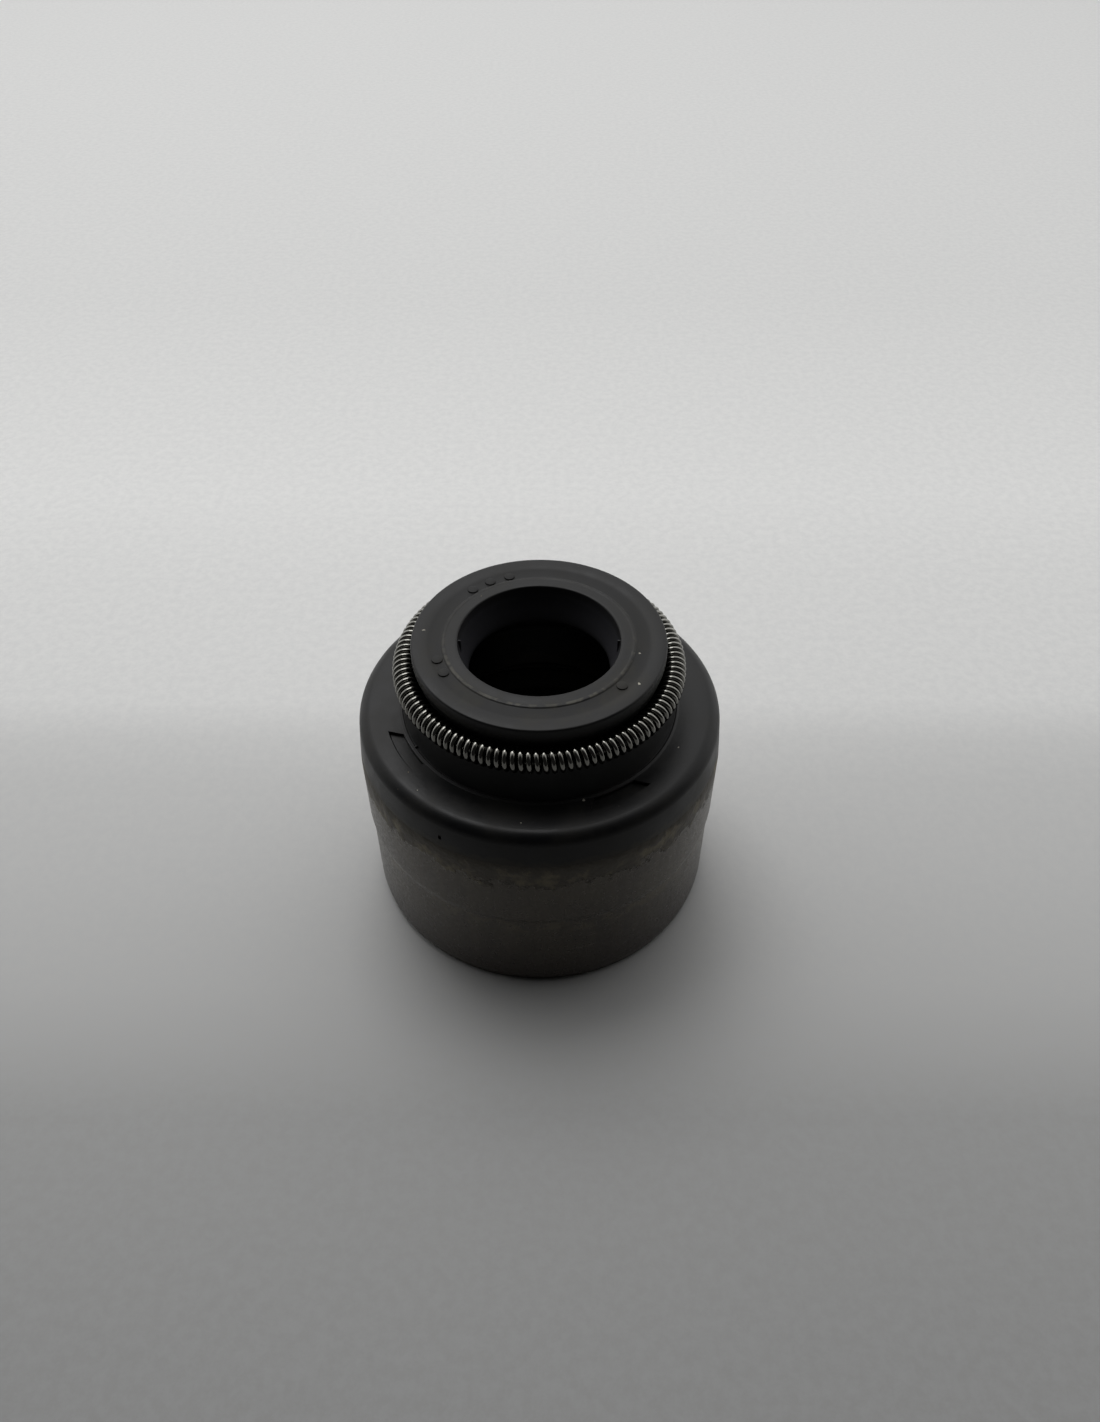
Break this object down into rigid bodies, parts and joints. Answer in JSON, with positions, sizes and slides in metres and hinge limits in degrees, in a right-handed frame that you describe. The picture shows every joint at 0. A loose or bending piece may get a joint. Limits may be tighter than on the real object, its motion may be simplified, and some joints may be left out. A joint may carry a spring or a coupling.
{
  "type": "valve stem seal",
  "caption": "Valve stem seal: a rubber body with a stem lip and a garter spring, moulded onto a drawn steel case that presses over the valve guide.",
  "frame": {"origin": "on the seal's axis, in the plane of the case's base ring", "axes": "+Z along the valve stem, from the valve guide towards the head with the stem lip; +Y away from the picture's camera"},
  "size_m": [0.0158, 0.0158, 0.0136],
  "materials": {
    "metal_case": "drawn steel with a thin olive-brown phosphate and adhesive film, vertical draw streaks",
    "rubber_body": "matt dark grey-black moulded elastomer",
    "garter_spring": "bright drawn spring wire"
  },
  "bodies": {
    "root": {"metal_case": "metal_case", "rubber_body": "rubber_body", "garter_spring": "garter_spring"}
  },
  "joints": []
}
